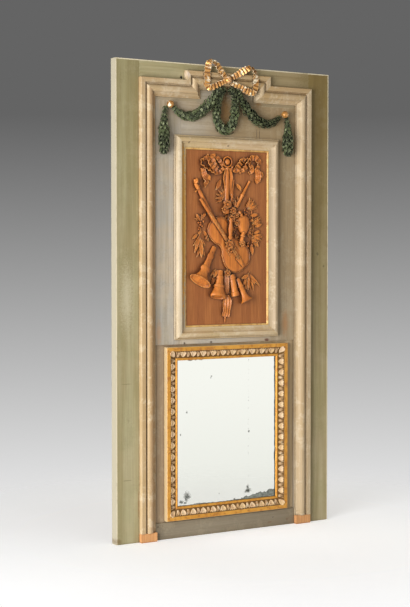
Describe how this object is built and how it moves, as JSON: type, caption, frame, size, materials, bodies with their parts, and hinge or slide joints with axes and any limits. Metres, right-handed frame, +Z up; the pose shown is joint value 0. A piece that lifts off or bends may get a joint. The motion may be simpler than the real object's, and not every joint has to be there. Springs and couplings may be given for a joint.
{
  "type": "trumeau mirror",
  "caption": "Tall painted wood trumeau panel with a crossetted moulding, a carved trophy relief, a small carved gilt mirror below it, and a ribbon bow with laurel garlands at the top.",
  "frame": {"origin": "centre of the foot of the panel, half way through the depth of its boards", "axes": "+Z up, +Y towards the wall behind it, +X to the viewer's right, so the front faces -Y"},
  "size_m": [1.071, 0.094, 2.024],
  "materials": {
    "bare_wood": "raw",
    "cream_paint": "aged matt paint",
    "gilding": "worn gilding",
    "green_paint": "aged matt paint",
    "grey_paint": "aged matt paint",
    "iron": "dark",
    "leaf_green_paint": "aged matt paint",
    "old_mirror": "polished, foxed",
    "relief_carving": "waxed",
    "relief_ground": "waxed"
  },
  "bodies": {
    "root": {"back_screws": "iron", "ball_pins": "gilding", "bottom_rail": "grey_paint", "bow_knot": "gilding", "bow_ribbon": "gilding", "cross_battens": "bare_wood", "garland_centre_loop": "leaf_green_paint", "garland_left_drop": "leaf_green_paint", "garland_left_swag": "leaf_green_paint", "garland_right_drop": "leaf_green_paint", "garland_right_swag": "leaf_green_paint", "gilt_frame_bottom": "gilding", "gilt_frame_left": "gilding", "gilt_frame_right": "gilding", "gilt_frame_top": "gilding", "gilt_leaf_and_dart": "gilding", "glazing_sprigs": "iron", "hanging_plates": "iron", "inner_ogee_side_left": "cream_paint", "inner_ogee_side_right": "cream_paint", "inner_ogee_step_left": "cream_paint", "inner_ogee_step_right": "cream_paint", "inner_ogee_top_centre": "cream_paint", "inner_ogee_top_left": "cream_paint", "inner_ogee_top_right": "cream_paint", "left_field_board": "grey_paint", "left_stile": "green_paint", "mid_rail": "grey_paint", "mirror_backboard": "bare_wood", "mirror_glass": "old_mirror", "mirror_recess_panel": "grey_paint", "outer_band_side_left": "cream_paint", "outer_band_side_right": "cream_paint", "outer_band_step_left": "cream_paint", "outer_band_step_right": "cream_paint", "outer_band_top_centre": "cream_paint", "outer_band_top_left": "cream_paint", "outer_band_top_right": "cream_paint", "plinth_blocks": "bare_wood", "relief_frame_bottom": "cream_paint", "relief_frame_left": "cream_paint", "relief_frame_right": "cream_paint", "relief_frame_top": "cream_paint", "relief_gilt_slips": "gilding", "relief_panel": "relief_ground", "right_field_board": "grey_paint", "right_stile": "green_paint", "top_rail": "green_paint", "trophy_bow_and_flute": "relief_carving", "trophy_horn": "relief_carving", "trophy_laurel_sprays": "relief_carving", "trophy_musette": "relief_carving", "trophy_oboe": "relief_carving", "trophy_pipes": "relief_carving", "trophy_ribbon": "relief_carving", "trophy_sash": "relief_carving", "trophy_torch": "relief_carving", "trophy_violin": "relief_carving", "upper_field_boards": "grey_paint"}
  },
  "joints": []
}
